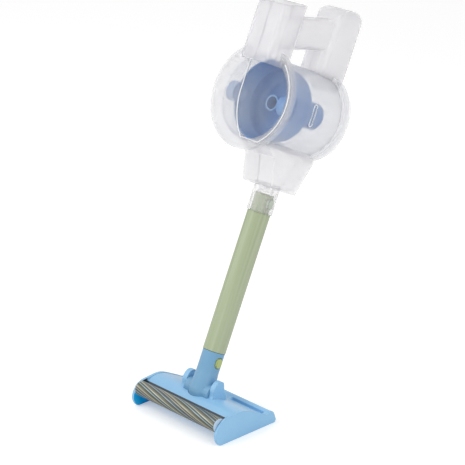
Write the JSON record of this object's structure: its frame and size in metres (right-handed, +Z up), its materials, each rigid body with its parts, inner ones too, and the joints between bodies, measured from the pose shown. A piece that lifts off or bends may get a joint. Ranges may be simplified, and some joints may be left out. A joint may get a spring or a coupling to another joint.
{
  "type": "toy stick vacuum cleaner",
  "caption": "Toy stick vacuum cleaner with a clear drum body, blue cup, green tube and light-blue floor head with a turning striped roller.",
  "frame": {"origin": "on the floor under the tilt pivot, midway across the floor head", "axes": "-Y to the front, where the roller is; +Z up; +X across the floor head, to the side that the snap buttons face"},
  "size_m": [0.17, 0.3337, 0.5581],
  "materials": {
    "clear_shell": "frosted clear plastic",
    "clear_drum": "frosted clear plastic",
    "clear_window": "smooth clear plastic",
    "blue_cup": "translucent blue, smooth",
    "green_tube": "satin olive green",
    "green_button": "satin yellow green",
    "blue_socket": "gloss light blue",
    "blue_head": "gloss light blue",
    "roller_foil": "striped shiny foil",
    "roller_end": "pale blue",
    "steel": "plain steel"
  },
  "bodies": {
    "head": {"head_shell": "blue_head", "head_base": "blue_head", "base_screws": "steel", "pivot_pin_left": "steel", "pivot_pin_right": "steel", "roller_axle": "steel"},
    "roller": {"roller_tube": "roller_foil", "roller_cap_left": "roller_end", "roller_cap_right": "roller_end"},
    "wand": {"nozzle_socket": "blue_socket", "wand_tube": "green_tube", "lower_button_spring": "steel", "upper_button_spring": "steel", "column_and_handle_left": "clear_shell", "column_and_handle_right": "clear_shell", "lower_housing_left": "clear_shell", "lower_housing_right": "clear_shell", "column_cap": "clear_shell", "front_disc": "clear_drum", "front_window": "clear_window", "drum_tube": "clear_drum", "rear_disc": "clear_drum", "wand_socket": "clear_shell", "cyclone_cup": "blue_cup"},
    "upper_button": {"upper_snap_button": "green_button"},
    "lower_button": {"lower_snap_button": "green_button"}
  },
  "joints": [
    {"name": "wand_tilt", "type": "hinge", "parent": "head", "child": "wand", "pos_m": [0, 0, 0.038], "axis": [1, 0, 0], "range_deg": [-50, 25]},
    {"name": "roller_spin", "type": "hinge", "parent": "head", "child": "roller", "pos_m": [0, -0.0415, 0.0265], "axis": [1, 0, 0], "continuous": true},
    {"name": "upper_button_press", "type": "slide", "parent": "wand", "child": "upper_button", "axis": [-1, 0, 0], "range_m": [0, 0.0032], "stiffness_N_per_m": 900, "springref_m": -0.0015, "deforming": ["upper_button_spring"]},
    {"name": "lower_button_press", "type": "slide", "parent": "wand", "child": "lower_button", "axis": [-1, 0, 0], "range_m": [0, 0.0032], "stiffness_N_per_m": 900, "springref_m": -0.0015, "deforming": ["lower_button_spring"]}
  ]
}
